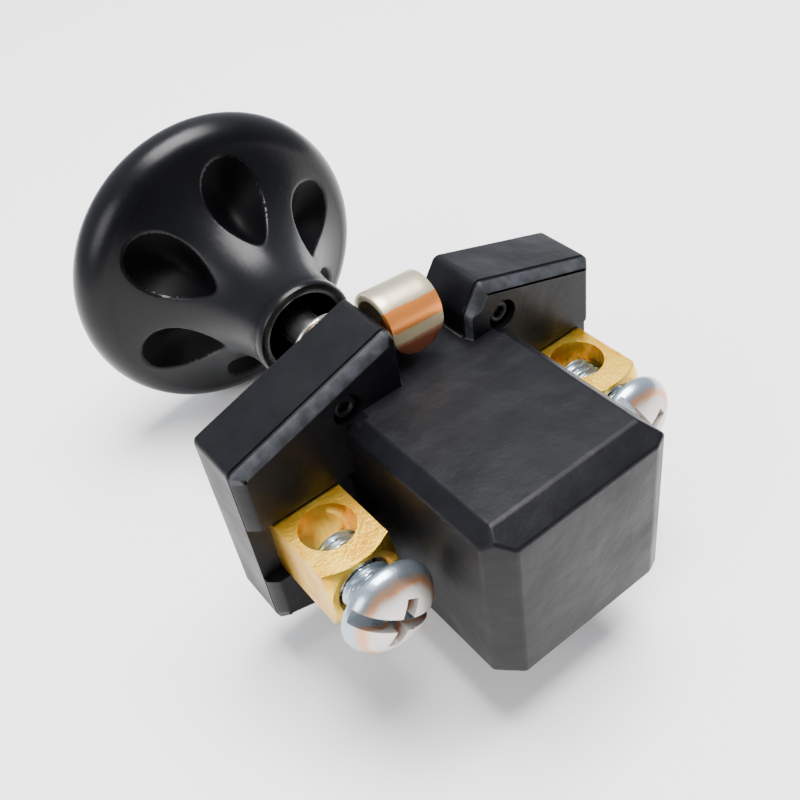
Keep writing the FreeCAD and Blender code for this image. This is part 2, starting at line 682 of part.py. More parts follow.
def turn_body(body):
    """The knob and its insert are turned together about the axis."""
    body.Placement.Rotation = FreeCAD.Rotation(FreeCAD.Vector(0, 1, 0), 1)
    body.setExpression(".Placement.Rotation.Angle", size("flute_phase"))


def hexagon_outline(across):
    corner = f"{across} / 2 / cos(30)"
    return [(f"{corner} * cos({60 * i})", f"{corner} * sin({60 * i})") for i in range(6)]


def knob_insert():
    """Hexagonal brass insert that the spindle's front end screws into."""
    body = new_body("knob_insert")
    extrude(body, "XZ", "-(insert_front)", "insert_length", lambda s: outline(s, hexagon_outline("insert_across")))
    extrude(body, "XZ", "-(insert_front) + 0.5", "insert_length", lambda s: ring(s, "0", "0", "spindle_radius"),
            cut=True)
    turn_body(body)
    return body


PIECES = [body_moulding(), insulating_plate()]
for side, sign in (("left", ""), ("right", "-")):
    PIECES.append(cover_rivet(f"cover_rivet_upper_{side}", sign, ""))
    PIECES.append(cover_rivet(f"cover_rivet_lower_{side}", sign, "-"))
PIECES += [mount_strap(), threaded_bush(), spindle(), stop_clip(), blade_carrier(), contact_bridge()]
PIECES.append(ring_piece("bridge_insulator", "stud_radius + stud_play", "carrier_radius", "bridge_rear",
                         "insulator_rear"))
PIECES.append(ring_piece("bridge_washer", "stud_radius + stud_play", "washer_radius", "insulator_rear",
                         "washer_rear"))
PIECES.append(bridge_nut())
for side, sign in (("left", ""), ("right", "-")):
    PIECES.append(fixed_contact(f"fixed_contact_{side}", sign))
    PIECES.append(terminal_block(f"terminal_block_{side}", sign))
    PIECES.append(clamp_screw(f"clamp_screw_{side}", sign, f"screw_stand_{side}"))
PIECES += [knob(), knob_insert()]

doc.recompute()

# ---------------------------------------------------------------- checks and export
for item in doc.Objects:
    if "Invalid" in item.State or "Error" in item.State:
        raise SystemExit(f"{item.Label}: {item.State}")
for piece in PIECES:
    if piece.Shape.isNull() or not piece.Shape.isValid() or piece.Shape.Volume <= 0:
        raise SystemExit(f"{piece.Label} has no valid solid")

os.makedirs("parts", exist_ok=True)
for piece in PIECES:
    piece.Shape.exportStep(f"parts/{piece.Label}.step")
    box = piece.Shape.BoundBox
    print(f"{piece.Label:26s} {piece.Shape.Volume:10.2f} mm3 solids {len(piece.Shape.Solids)}"
          f" x {box.XMin:.2f}..{box.XMax:.2f} y {box.YMin:.2f}..{box.YMax:.2f} z {box.ZMin:.2f}..{box.ZMax:.2f}")
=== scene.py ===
import math

import bmesh
import bpy
from mathutils import Matrix, Vector


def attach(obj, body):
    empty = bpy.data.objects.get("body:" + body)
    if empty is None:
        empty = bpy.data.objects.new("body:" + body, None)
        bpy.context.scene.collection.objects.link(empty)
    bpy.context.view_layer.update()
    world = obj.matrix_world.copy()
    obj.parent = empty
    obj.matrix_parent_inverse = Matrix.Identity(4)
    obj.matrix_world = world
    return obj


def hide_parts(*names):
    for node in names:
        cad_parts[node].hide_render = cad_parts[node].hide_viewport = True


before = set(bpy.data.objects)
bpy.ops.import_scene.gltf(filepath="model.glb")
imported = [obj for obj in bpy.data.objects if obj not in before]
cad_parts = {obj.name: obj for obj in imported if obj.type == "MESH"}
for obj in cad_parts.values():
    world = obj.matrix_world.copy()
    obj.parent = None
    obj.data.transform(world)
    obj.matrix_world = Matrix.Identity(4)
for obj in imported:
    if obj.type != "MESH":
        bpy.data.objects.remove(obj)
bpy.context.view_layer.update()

MM = 0.001

# ------------------------------------------------------------------ camera
# A portrait view from behind and above the switch, on its +X side.
# The three rows are the camera's right, down and forward directions in the row frame.
right = Vector((-0.783655, 0.607925, -0.127717))
down = Vector((0.495210, 0.487248, -0.719275))
forward = Vector((-0.375036, -0.626910, -0.682885))
camera = bpy.data.objects.new("camera", bpy.data.cameras.new("camera"))
bpy.context.collection.objects.link(camera)
bpy.context.scene.camera = camera
camera.data.sensor_width = 36
camera.data.lens = 44.53
camera.data.shift_x = -0.0021
camera.data.shift_y = -0.0024
camera.data.clip_start = 0.005
camera.data.clip_end = 20
camera.data.dof.use_dof = False
turned = Matrix((right, -down, -forward)).transposed().to_4x4()
camera.matrix_world = Matrix.Translation(Vector((35.459, 61.416, 66.209)) * MM) @ turned

# ------------------------------------------------------------------ floor, world and lamps
# A pale table just under the knob's rim, a sky that is brighter on the knob's side, a strong
# broad soft lamp above and a weaker one on the +X side.
def srgb(text):
    """Linear colour of a hex text."""
    parts = [int(text[i:i + 2], 16) / 255 for i in (1, 3, 5)]
    return tuple(p / 12.92 if p <= 0.04045 else ((p + 0.055) / 1.055) ** 2.4 for p in parts) + (1.0,)


def add_node(tree, kind, links=(), **values):
    """A node with its settings and inputs set by name, and the inputs in links joined or set."""
    made = tree.nodes.new(kind)
    for name, value in values.items():
        if hasattr(made, name):
            setattr(made, name, value)
        else:
            made.inputs[name.replace("_", " ")].default_value = value
    for name, value in dict(links).items():
        if isinstance(value, bpy.types.NodeSocket):
            tree.links.new(value, made.inputs[name])
        else:
            made.inputs[name].default_value = value
    return made


def new_material(name):
    """An empty node material with its output, and that material's tree."""
    made = bpy.data.materials.new(name)
    made.use_nodes = True
    made.node_tree.nodes.clear()
    return made, made.node_tree


def end_material(tree, shader):
    """Joins a shader to its tree's surface output."""
    output = add_node(tree, "ShaderNodeOutputMaterial")
    tree.links.new(shader.outputs[0], output.inputs["Surface"])


pale, tree = new_material("pale_table")
end_material(tree, add_node(tree, "ShaderNodeBsdfDiffuse", Color=srgb("#f6f5f3")))

floor_mesh = bpy.data.meshes.new("table")
far = 3.0
level = -18.0 * MM
floor_mesh.from_pydata([(-far, -far, level), (far, -far, level), (far, far, level), (-far, far, level)], [],
                       [(0, 1, 2, 3)])
floor_mesh.materials.append(pale)
floor = bpy.data.objects.new("table", floor_mesh)
bpy.context.collection.objects.link(floor)

world = bpy.data.worlds.new("studio")
bpy.context.scene.world = world
world.use_nodes = True
world.node_tree.nodes.clear()
towards = add_node(world.node_tree, "ShaderNodeTexCoord").outputs["Generated"]
parts = add_node(world.node_tree, "ShaderNodeSeparateXYZ", {"Vector": towards})
fall = add_node(world.node_tree, "ShaderNodeMapRange",
                {"Value": parts.outputs["Y"], "From Min": -0.6, "From Max": 0.6, "To Min": 1.3, "To Max": 0.45})
sky = add_node(world.node_tree, "ShaderNodeBackground", {"Strength": fall.outputs["Result"]},
               Color=srgb("#e9effb"))
sky_out = add_node(world.node_tree, "ShaderNodeOutputWorld")
world.node_tree.links.new(sky.outputs[0], sky_out.inputs["Surface"])


def lamp(name, place, aim, wide, high, power):
    """A rectangular soft lamp; places in millimetres of the row frame."""
    made = bpy.data.objects.new(name, bpy.data.lights.new(name, "AREA"))
    bpy.context.collection.objects.link(made)
    made.data.shape = "RECTANGLE"
    made.data.size = wide * MM
    made.data.size_y = high * MM
    made.data.energy = power
    made.location = Vector(place) * MM
    made.rotation_mode = "QUATERNION"
    made.rotation_quaternion = (Vector(aim) - Vector(place)).to_track_quat("-Z", "Y")


lamp("lamp_above", (-90, -10, 520), (0, 0, 0), 330, 330, 10.0)
lamp("lamp_side", (520, 120, 330), (0, 0, 0), 300, 300, 2.4)

# ------------------------------------------------------------------ body moulding
# Compression-moulded black phenolic: a six-sided flange, notched above and below, with two
# channels for the terminals, and the bevelled contact housing. The hidden hollow for the
# contacts and the front recess for the plate are left solid here.
def new_object(name, mesh, *materials):
    """An object at the origin, in the scene, with its materials."""
    made = bpy.data.objects.new(name, mesh)
    bpy.context.collection.objects.link(made)
    for material in materials:
        mesh.materials.append(material)
    return made


def smooth(piece, degrees=35):
    """Smooth faces, with edges sharper than the angle kept sharp and large flats kept flat."""
    piece.data.shade_smooth()
    piece.data.set_sharp_from_angle(angle=math.radians(degrees))
    step = piece.modifiers.new("flats", "WEIGHTED_NORMAL")
    step.mode = "FACE_AREA"
    step.weight = 100
    step.keep_sharp = True
    apply_modifiers(piece)


def rounded_outline(corners, step=0.5):
    """A dense closed outline from (x, z, radius) corners, sampled about every step."""
    dense = []
    count = len(corners)
    for i in range(count):
        x, z, radius = corners[i]
        here = Vector((x, z))
        before = Vector(corners[i - 1][:2]) - here
        after = Vector(corners[(i + 1) % count][:2]) - here
        turn = math.pi - before.angle(after)
        cut = radius * math.tan(turn / 2)
        start = here + before.normalized() * cut
        finish = here + after.normalized() * cut
        inward = (before.normalized() + after.normalized()).normalized()
        middle = here + inward * (radius / math.cos(turn / 2))
        pieces = max(2, int(turn / 0.2))
        a = start - middle
        sweep = a.angle_signed(finish - middle) if radius > 0 else 0
        for k in range(pieces + 1):
            turned = Matrix.Rotation(-sweep * k / pieces, 2) @ a
            dense.append(middle + turned)
    path = []
    for i in range(len(dense)):
        start, finish = dense[i], dense[(i + 1) % len(dense)]
        runs = max(1, int((finish - start).length / step))
        for k in range(runs):
            path.append(start.lerp(finish, k / runs))
    return path


def inward_normals(path):
    """Unit normals of a counter-clockwise outline, pointing inwards."""
    count = len(path)
    made = []
    for i in range(count):
        along = path[(i + 1) % count] - path[i - 1]
        made.append(Vector((-along.y, along.x)).normalized())
    return made


def loft(name, path, weights, rings, material):
    """A closed solid along Y: each ring is (y, inset), and a weight of 0..1 scales each point's inset."""
    normals = inward_normals(path)
    count = len(path)
    verts = []
    for y, inset in rings:
        for point, normal, weight in zip(path, normals, weights):
            moved = point + normal * (inset * weight)
            verts.append((moved.x * MM, y * MM, moved.y * MM))
    faces = []
    for ring in range(len(rings) - 1):
        for i in range(count):
            j = (i + 1) % count
            faces.append((ring * count + i, ring * count + j, (ring + 1) * count + j, (ring + 1) * count + i))
    faces.append(tuple(reversed(range(count))))
    faces.append(tuple(range((len(rings) - 1) * count, len(rings) * count)))
    mesh = bpy.data.meshes.new(name)
    mesh.from_pydata(verts, [], faces)
    mesh.update()
    piece = new_object(name, mesh, material)
    fix_normals(piece)
    return piece


def fix_normals(piece):
    """Turns every face of a closed piece outwards."""
    work = bmesh.new()
    work.from_mesh(piece.data)
    bmesh.ops.recalc_face_normals(work, faces=work.faces)
    work.to_mesh(piece.data)
    work.free()


def box(name, low, high, material):
    """A plain box between two corners, in millimetres."""
    mesh = bpy.data.meshes.new(name)
    work = bmesh.new()
    bmesh.ops.create_cube(work, size=1.0)
    for vert in work.verts:
        vert.co = Vector([(low[k] + high[k]) / 2 + vert.co[k] * (high[k] - low[k]) for k in range(3)]) * MM
    work.to_mesh(mesh)
    work.free()
    return new_object(name, mesh, material)


def combine(piece, other, operation):
    """A boolean of two closed pieces; the second is used up."""
    step = piece.modifiers.new("join", "BOOLEAN")
    step.operation = operation
    step.solver = "MANIFOLD"
    step.object = other
    apply_modifiers(piece)
    bpy.data.objects.remove(other)


def apply_modifiers(piece):
    """Keeps what a piece's modifiers make as its plain mesh."""
    bpy.context.view_layer.update()
    graph = bpy.context.evaluated_depsgraph_get()
    made = bpy.data.meshes.new_from_object(piece.evaluated_get(graph))
    piece.modifiers.clear()
    piece.data = made


def bevel(piece, width, segments=3, degrees=30):
    """Rounds the edges sharper than the angle; the width is in millimetres."""
    step = piece.modifiers.new("bevel", "BEVEL")
    step.width = width * MM
    step.segments = segments
    step.limit_method = "ANGLE"
    step.angle_limit = math.radians(degrees)
    step.harden_normals = False
    apply_modifiers(piece)


def slice_off(piece, point, normal):
    """Cuts a convex piece at a plane and closes it; what lies along the normal goes."""
    work = bmesh.new()
    work.from_mesh(piece.data)
    whole = work.verts[:] + work.edges[:] + work.faces[:]
    cut = bmesh.ops.bisect_plane(work, geom=whole, plane_co=Vector(point) * MM, plane_no=Vector(normal),
                                 clear_outer=True, dist=1e-7)
    edges = [e for e in cut["geom_cut"] if isinstance(e, bmesh.types.BMEdge)]
    bmesh.ops.edgenet_fill(work, edges=edges)
    bmesh.ops.recalc_face_normals(work, faces=work.faces)
    work.to_mesh(piece.data)
    work.free()


def cylinder(name, centre, radius, length, axis, material, sides=64):
    """A closed cylinder about a centre, along a row axis, in millimetres."""
    mesh = bpy.data.meshes.new(name)
    work = bmesh.new()
    bmesh.ops.create_cone(work, cap_ends=True, segments=sides, radius1=radius, radius2=radius, depth=length)
    turned = {"x": Matrix.Rotation(math.pi / 2, 4, "Y"), "y": Matrix.Rotation(math.pi / 2, 4, "X"),
              "z": Matrix.Identity(4)}[axis]
    bmesh.ops.transform(work, matrix=Matrix.Scale(MM, 4) @ Matrix.Translation(centre) @ turned, verts=work.verts)
    work.to_mesh(mesh)
    work.free()
    return new_object(name, mesh, material)


# satin black phenolic, mottled, with fine pits and the long waves of a moulded face
phenolic, tree = new_material("moulded_phenolic")
place = add_node(tree, "ShaderNodeTexCoord").outputs["Object"]
mottle = add_node(tree, "ShaderNodeTexNoise", {"Vector": place}, Scale=420.0, Detail=5.0, Roughness=0.6)
shade = add_node(tree, "ShaderNodeValToRGB", {"Fac": mottle.outputs["Fac"]})
shade.color_ramp.elements[0].position = 0.3
shade.color_ramp.elements[0].color = srgb("#060608")
shade.color_ramp.elements[1].position = 0.75
shade.color_ramp.elements[1].color = srgb("#0d0d11")
cloud = add_node(tree, "ShaderNodeTexNoise", {"Vector": place}, Scale=160.0, Detail=3.0)
rough = add_node(tree, "ShaderNodeMapRange",
                 {"Value": cloud.outputs["Fac"], "From Min": 0.3, "From Max": 0.7, "To Min": 0.34, "To Max": 0.5})
pits = add_node(tree, "ShaderNodeTexNoise", {"Vector": place}, Scale=2600.0, Detail=2.0)
waves = add_node(tree, "ShaderNodeTexNoise", {"Vector": place}, Scale=230.0, Detail=2.0)
bump_waves = add_node(tree, "ShaderNodeBump", {"Height": waves.outputs["Fac"]}, Strength=0.35, Distance=0.0004)
bump = add_node(tree, "ShaderNodeBump", {"Height": pits.outputs["Fac"], "Normal": bump_waves.outputs["Normal"]},
                Strength=0.25, Distance=0.00006)
skin = add_node(tree, "ShaderNodeBsdfPrincipled",
                {"Base Color": shade.outputs["Color"], "Roughness": rough.outputs["Result"],
                 "Normal": bump.outputs["Normal"]}, Specular_IOR_Level=0.15)
end_material(tree, skin)

# the same phenolic made paler on the flange's rear rim chamfer: partly rubbed by handling, partly a painted sheen
# where light catches the chamfer
worn, tree = new_material("rubbed_and_sheen_phenolic")
place = add_node(tree, "ShaderNodeTexCoord").outputs["Object"]
rub = add_node(tree, "ShaderNodeTexNoise", {"Vector": place}, Scale=900.0, Detail=4.0)
shade = add_node(tree, "ShaderNodeValToRGB", {"Fac": rub.outputs["Fac"]})
shade.color_ramp.elements[0].position = 0.35
shade.color_ramp.elements[0].color = srgb("#1d1e21")
shade.color_ramp.elements[1].position = 0.7
shade.color_ramp.elements[1].color = srgb("#34363a")
end_material(tree, add_node(tree, "ShaderNodeBsdfPrincipled", {"Base Color": shade.outputs["Color"]},
                            Roughness=0.45, Specular_IOR_Level=0.25))

corners = [(20, -9.85, 0.7), (20, 9.85, 0.7), (3.1, 15.1, 0.7), (2.8, 14.2, 0.5), (2.8, 9.0, 0.3),
           (-4.8, 9.0, 0.3), (-4.8, 11.4, 1.2), (-6.7, 14.2, 0.8), (-20, 9.85, 0.7), (-20, -9.85, 0.7),
           (-4.8, -15.0, 0.6), (-4.8, -9.0, 0.3), (2.8, -9.0, 0.3), (2.8, -15.1, 0.6)]
path = rounded_outline(corners)
weights = [1.0 if not -5.2 < p.x < 3.2 else 0.3 for p in path]
rings = [(0.8, 0.35), (0.9, 0.1), (1.15, 0.0), (6.5, 0.0), (6.58, 0.16), (6.68, 0.16), (6.76, 0.04),
         (6.9, 0.08), (7.45, 0.66), (7.6, 0.85), (7.7, 1.1)]
moulding = loft("moulding", path, weights, rings, phenolic)
housing = box("housing", (-9.25, 4.0, -9.0), (9.25, 26.7, 9.0), phenolic)
slice_off(housing, (0, 26.7, 7.6), (0, 1.4, 2.3))
slice_off(housing, (7.25, 26.7, 0), (2.0, 2.0, 0))
slice_off(housing, (-7.85, 26.7, 0), (-0.6, 1.4, 0))
slice_off(housing, (9.25, 0, 7.6), (1, 0, 1))
slice_off(housing, (-9.25, 0, 7.6), (-1, 0, 1))
bevel(housing, 0.28, 3, 20)
combine(moulding, housing, "UNION")
for side in (1, -1):
    low, high = sorted((side * 9.25, side * 21))
    combine(moulding, box("channel", (low, 6.5, -4.24), (high, 8.5, 2.96), phenolic), "DIFFERENCE")
    for lift in (1, -1):
        well = cylinder("well", (side * 8.57, 7.7, lift * 9.9), 1.5, 2.0, "y", phenolic)
        combine(moulding, well, "DIFFERENCE")
# the back-leaning chamfer faces of the rear rim take the paler phenolic, wear with a painted sheen
moulding.data.materials.append(worn)
for face in moulding.data.polygons:
    x, y, z = face.center / MM
    leans_back = 0.25 < face.normal.y < 0.95
    if 7.0 < y < 7.69 and leans_back and abs(z) > 8.9:
        face.material_index = 1
smooth(moulding)
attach(moulding, "housing")
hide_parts("body_moulding")

# ------------------------------------------------------------------ cover rivets
# Four blackened semi-tubular rivets clamp the plate that closes the flange's front. Each has a
# solid flat head in front and a hollow end rolled outwards in a well of the rear face.
def geometry_tree(name, sizes):
    """A Geometry Nodes tree with named inputs for its sizes, and its input and output nodes."""
    tree = bpy.data.node_groups.new(name, "GeometryNodeTree")
    tree.interface.new_socket("Piece", in_out="INPUT", socket_type="NodeSocketGeometry")
    for size in sizes:
        tree.interface.new_socket(size, in_out="INPUT", socket_type="NodeSocketFloat")
    tree.interface.new_socket("Material", in_out="INPUT", socket_type="NodeSocketMaterial")
    tree.interface.new_socket("Piece", in_out="OUTPUT", socket_type="NodeSocketGeometry")
    return tree, add_node(tree, "NodeGroupInput"), add_node(tree, "NodeGroupOutput")


def run_tree(piece, tree, values):
    """Runs a tree on a piece with its named inputs set, and keeps the plain mesh."""
    step = piece.modifiers.new("nodes", "NODES")
    step.node_group = tree
    for socket in tree.interface.items_tree:
        if socket.in_out == "INPUT" and socket.name in values:
            step[socket.identifier] = values[socket.name]
    apply_modifiers(piece)


def metal(name, text, roughness, grain_scale, strength, metallic=1.0):
    """A metal with fine dents and uneven polish."""
    made, tree = new_material(name)
    place = add_node(tree, "ShaderNodeTexCoord").outputs["Object"]
    grain = add_node(tree, "ShaderNodeTexNoise", {"Vector": place}, Scale=grain_scale, Detail=3.0)
    dent = add_node(tree, "ShaderNodeBump", {"Height": grain.outputs["Fac"]}, Strength=strength, Distance=0.00005)
    worn = add_node(tree, "ShaderNodeMapRange",
                    {"Value": grain.outputs["Fac"], "To Min": roughness * 0.75, "To Max": roughness * 1.3})
    end_material(tree, add_node(tree, "ShaderNodeBsdfPrincipled",
                                {"Normal": dent.outputs["Normal"], "Roughness": worn.outputs["Result"]},
                                Base_Color=srgb(text), Metallic=metallic))
    return made


# chemically blackened steel
black_rivet = metal("blackened_steel", "#1b1b1e", 0.42, 1500.0, 0.3, 0.6)
tree, given, result = geometry_tree("tubular_rivets", ["Across", "Up", "Shank", "Bore", "Bore floor", "Head",
                                                       "Head height", "Front", "Rear", "Rolled"])
size_of = given.outputs
corners_at = add_node(tree, "GeometryNodeMeshGrid", {"Vertices X": 2, "Vertices Y": 2})
for name, axis in (("Across", "Size X"), ("Up", "Size Y")):
    double = add_node(tree, "ShaderNodeMath", {0: size_of[name], 1: 2.0}, operation="MULTIPLY")
    tree.links.new(double.outputs[0], corners_at.inputs[axis])
under = add_node(tree, "ShaderNodeMath", {0: size_of["Front"], 1: size_of["Head height"]}, operation="ADD")
under = under.outputs[0]
tubes = []
# the head and the shank are solid, and the end behind the bore's floor is a tube
for low, high, outer, hollow in ((size_of["Front"], under, "Head", False),
                                 (under, size_of["Bore floor"], "Shank", False),
                                 (size_of["Bore floor"], size_of["Rear"], "Shank", True)):
    long = add_node(tree, "ShaderNodeMath", {0: high, 1: low}, operation="SUBTRACT").outputs[0]
    middle = add_node(tree, "ShaderNodeMath", {0: long, 1: 0.5, 2: low}, operation="MULTIPLY_ADD").outputs[0]
    place = add_node(tree, "ShaderNodeCombineXYZ", {"Z": middle}).outputs[0]
    if hollow:
        mean = add_node(tree, "ShaderNodeMath", {0: size_of[outer], 1: size_of["Bore"]}, operation="ADD")
        mean = add_node(tree, "ShaderNodeMath", {0: mean.outputs[0], 1: 0.5}, operation="MULTIPLY").outputs[0]
        wall = add_node(tree, "ShaderNodeMath", {0: size_of[outer], 1: size_of["Bore"]}, operation="SUBTRACT")
        path = add_node(tree, "GeometryNodeCurvePrimitiveCircle", {"Resolution": 40, "Radius": mean})
        section = add_node(tree, "GeometryNodeCurvePrimitiveQuadrilateral",
                           {"Width": wall.outputs[0], "Height": long})
        made = add_node(tree, "GeometryNodeCurveToMesh",
                        {"Curve": path.outputs[0], "Profile Curve": section.outputs[0]})
    else:
        made = add_node(tree, "GeometryNodeMeshCylinder", {"Vertices": 40, "Radius": size_of[outer], "Depth": long})
    tubes.append(add_node(tree, "GeometryNodeTransform", {"Geometry": made.outputs[0], "Translation": place}))
path = add_node(tree, "GeometryNodeCurvePrimitiveCircle", {"Resolution": 40, "Radius": mean})
section = add_node(tree, "GeometryNodeCurvePrimitiveCircle", {"Resolution": 14, "Radius": size_of["Rolled"]})
made = add_node(tree, "GeometryNodeCurveToMesh", {"Curve": path.outputs[0], "Profile Curve": section.outputs[0]})
place = add_node(tree, "ShaderNodeCombineXYZ", {"Z": size_of["Rear"]}).outputs[0]
tubes.append(add_node(tree, "GeometryNodeTransform", {"Geometry": made.outputs[0], "Translation": place}))
rivet = add_node(tree, "GeometryNodeJoinGeometry")
for part in tubes:
    tree.links.new(part.outputs[0], rivet.inputs[0])
four = add_node(tree, "GeometryNodeInstanceOnPoints",
                {"Points": corners_at.outputs["Mesh"], "Instance": rivet.outputs[0]})
upright = add_node(tree, "GeometryNodeTransform", {"Geometry": four.outputs[0]}, Rotation=(-math.pi / 2, 0, 0))
solid = add_node(tree, "GeometryNodeRealizeInstances", {0: upright.outputs[0]})
finished = add_node(tree, "GeometryNodeSetMaterial", {"Geometry": solid.outputs[0], "Material": size_of["Material"]})
tree.links.new(finished.outputs[0], result.inputs[0])

rivets = new_object("cover_rivets", bpy.data.meshes.new("cover_rivets"))
run_tree(rivets, tree, {"Across": 8.57 * MM, "Up": 9.9 * MM, "Shank": 1.1 * MM, "Bore": 0.55 * MM,
                        "Bore floor": 5.2 * MM, "Head": 1.9 * MM, "Head height": 0.5 * MM, "Front": 0.3 * MM,
                        "Rear": 6.85 * MM, "Rolled": 0.35 * MM, "Material": black_rivet})
fix_normals(rivets)
smooth(rivets)
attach(rivets, "housing")
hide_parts("cover_rivet_upper_left", "cover_rivet_lower_left", "cover_rivet_upper_right",
            "cover_rivet_lower_right")

# ------------------------------------------------------------------ strap
# Nickel-plated strip: a round seat round the bush and two tongues curled back over the
# notches. The upper curl is worn to orange copper along its crown and brown at its tip.
def sweep(name, path, half_widths, thickness, shift, material):
    """A rounded strip along a (y, z) path, centred sideways on shift, closed at both ends."""
    verts = []
    count = len(path)
    half = thickness / 2
    soft = thickness * 0.22
    for i, (y, z) in enumerate(path):
        after, before = Vector(path[min(i + 1, count - 1)]), Vector(path[max(i - 1, 0)])
        along = (after - before).normalized()
        across = Vector((-along.y, along.x))
        wide = half_widths[i]
        section = [(wide - soft, -half), (wide - soft * 0.3, -half + soft * 0.3), (wide, -half + soft),
                   (wide, half - soft), (wide - soft * 0.3, half - soft * 0.3), (wide - soft, half)]
        inner = [(wide * k, half) for k in (0.6, 0.2, -0.2, -0.6)]
        other = [(-x, h) for x, h in reversed(section)]
        lower = [(-x, -h) for x, h in inner]
        for x, h in section + inner + other + lower:
            verts.append(((shift + x) * MM, (y + across.x * h) * MM, (z + across.y * h) * MM))
    ring = 20
    faces = [(a * ring + k, a * ring + (k + 1) % ring, (a + 1) * ring + (k + 1) % ring, (a + 1) * ring + k)
             for a in range(count - 1) for k in range(ring)]
    faces.append(tuple(reversed(range(ring))))
    faces.append(tuple(range((count - 1) * ring, count * ring)))
    mesh = bpy.data.meshes.new(name)
    mesh.from_pydata(verts, [], faces)
    mesh.update()
    made = new_object(name, mesh, material)
    fix_normals(made)
    return made


# bright plating over copper: worn through in a band on the crown, brown at the tip
plated, tree = new_material("plated_strap")
place = add_node(tree, "ShaderNodeTexCoord").outputs["Object"]
split = add_node(tree, "ShaderNodeSeparateXYZ", {"Vector": place})
wobble = add_node(tree, "ShaderNodeTexNoise", {"Vector": place}, Scale=700.0, Detail=4.0)
drift = add_node(tree, "ShaderNodeMath", {0: wobble.outputs["Fac"], 1: 0.0005, 2: -0.00025},
                 operation="MULTIPLY_ADD")
# how far back and down from a point on the crown, in metres, skewed a little across the strip
back = add_node(tree, "ShaderNodeMath", {0: split.outputs["Y"], 1: 0.0037}, operation="SUBTRACT")
drop = add_node(tree, "ShaderNodeMath", {0: split.outputs["Z"], 1: 0.0159}, operation="SUBTRACT")
slope = add_node(tree, "ShaderNodeMath", {0: split.outputs["X"], 1: -0.09}, operation="MULTIPLY")
level = add_node(tree, "ShaderNodeMath", {0: drop.outputs[0], 1: slope.outputs[0]}, operation="ADD")
along = add_node(tree, "ShaderNodeMath", {0: back.outputs[0], 1: level.outputs[0]}, operation="SUBTRACT")
where = add_node(tree, "ShaderNodeMath", {0: along.outputs[0], 1: drift.outputs[0]}, operation="ADD")
band = add_node(tree, "ShaderNodeMapRange", {"Value": where.outputs[0], "From Min": 0.0, "From Max": 0.009})
tint = add_node(tree, "ShaderNodeValToRGB", {"Fac": band.outputs["Result"]})
stops = [(0.0, "#b3a98f"), (0.29, "#bdb295"), (0.31, "#d98238"), (0.595, "#dc8540"), (0.62, "#d8c79d"),
         (0.725, "#dccda6"), (0.755, "#c08c6c"), (0.80, "#96563a"), (0.93, "#8a5442"), (1.0, "#744a3c")]
tint.color_ramp.elements[0].position = stops[0][0]
tint.color_ramp.elements[0].color = srgb(stops[0][1])
tint.color_ramp.elements[1].position = stops[-1][0]
tint.color_ramp.elements[1].color = srgb(stops[-1][1])
for at, text in stops[1:-1]:
    tint.color_ramp.elements.new(at).color = srgb(text)
grain = add_node(tree, "ShaderNodeTexNoise", {"Vector": place}, Scale=1500.0, Detail=3.0)
dent = add_node(tree, "ShaderNodeBump", {"Height": grain.outputs["Fac"]}, Strength=0.3, Distance=0.00005)
end_material(tree, add_node(tree, "ShaderNodeBsdfPrincipled",
                            {"Base Color": tint.outputs["Color"], "Normal": dent.outputs["Normal"]},
                            Metallic=0.72, Roughness=0.36))

curl_middle, curl_rise, curl_mean = 3.7, 13.1, 2.4
half_width, side_shift, tip_end = 2.75, -0.35, 10.2
curl = [(0.4, 7.0 + 0.4 * k) for k in range(7)]
for k in range(1, 9):
    curl.append((0.4 + 0.9 * k / 9, 9.4 + (curl_rise - 9.4) * k / 9))
for k in range(33):
    turn = math.pi * k / 32
    curl.append((curl_middle - curl_mean * math.cos(turn), curl_rise + curl_mean * math.sin(turn)))
for k in range(1, 25):
    curl.append((curl_middle + curl_mean, curl_rise - (curl_rise - tip_end) * k / 24))
tip = []
for y, z in curl:
    short = max(0.0, 2.4 - (z - tip_end)) if y > curl_middle + curl_mean - 0.1 else 0.0
    tip.append(max(0.35, half_width * math.sqrt(max(0.0, 1 - (short / 2.45) ** 2))))
strap = cylinder("strap", (0, 0.4, 0), 9.0, 0.8, "y", plated, 96)
combine(strap, cylinder("hole", (0, 0.4, 0), 4.2, 2.0, "y", plated, 64), "DIFFERENCE")
for sign in (1, -1):
    tongue = sweep("tongue", curl, tip, 0.8, side_shift, plated)
    for vert in tongue.data.vertices:
        lifted = min(1.0, max(0.0, (vert.co.z / MM - 9.4) / 3))
        vert.co.z += 0.075 * lifted * (vert.co.x - side_shift * MM)
    if sign < 0:
        tongue.data.transform(Matrix.Scale(-1, 4, (0, 0, 1)))
        fix_normals(tongue)
    combine(strap, tongue, "UNION")
smooth(strap, 40)
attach(strap, "housing")
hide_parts("mount_strap")

# ------------------------------------------------------------------ threaded bush
# Nickel-plated M8 bush: a rolled thread with its run-out at the seat and a lead-in at the
# end, bored for the spindle. The collar behind the strap is hidden.
def revolve(name, profile, around, material, shape=None):
    """A surface turned about Y from (radius, y) points, closed where they reach the axis or meet."""
    rows = []
    for r, y in profile:
        row = []
        for k in range(around):
            turn = 2 * math.pi * k / around
            radius, along = shape(r, y, turn) if shape else (r, y)
            row.append((radius * math.cos(turn) * MM, along * MM, radius * math.sin(turn) * MM))
        rows.append(row)
    verts = [v for row in rows for v in row]
    faces = []
    for a in range(len(rows) - 1):
        for k in range(around):
            j = (k + 1) % around
            faces.append((a * around + k, a * around + j, (a + 1) * around + j, (a + 1) * around + k))
    mesh = bpy.data.meshes.new(name)
    mesh.from_pydata(verts, [], faces)
    work = bmesh.new()
    work.from_mesh(mesh)
    bmesh.ops.remove_doubles(work, verts=work.verts, dist=1e-7)
    bmesh.ops.recalc_face_normals(work, faces=work.faces)
    work.to_mesh(mesh)
    work.free()
    return new_object(name, mesh, material)


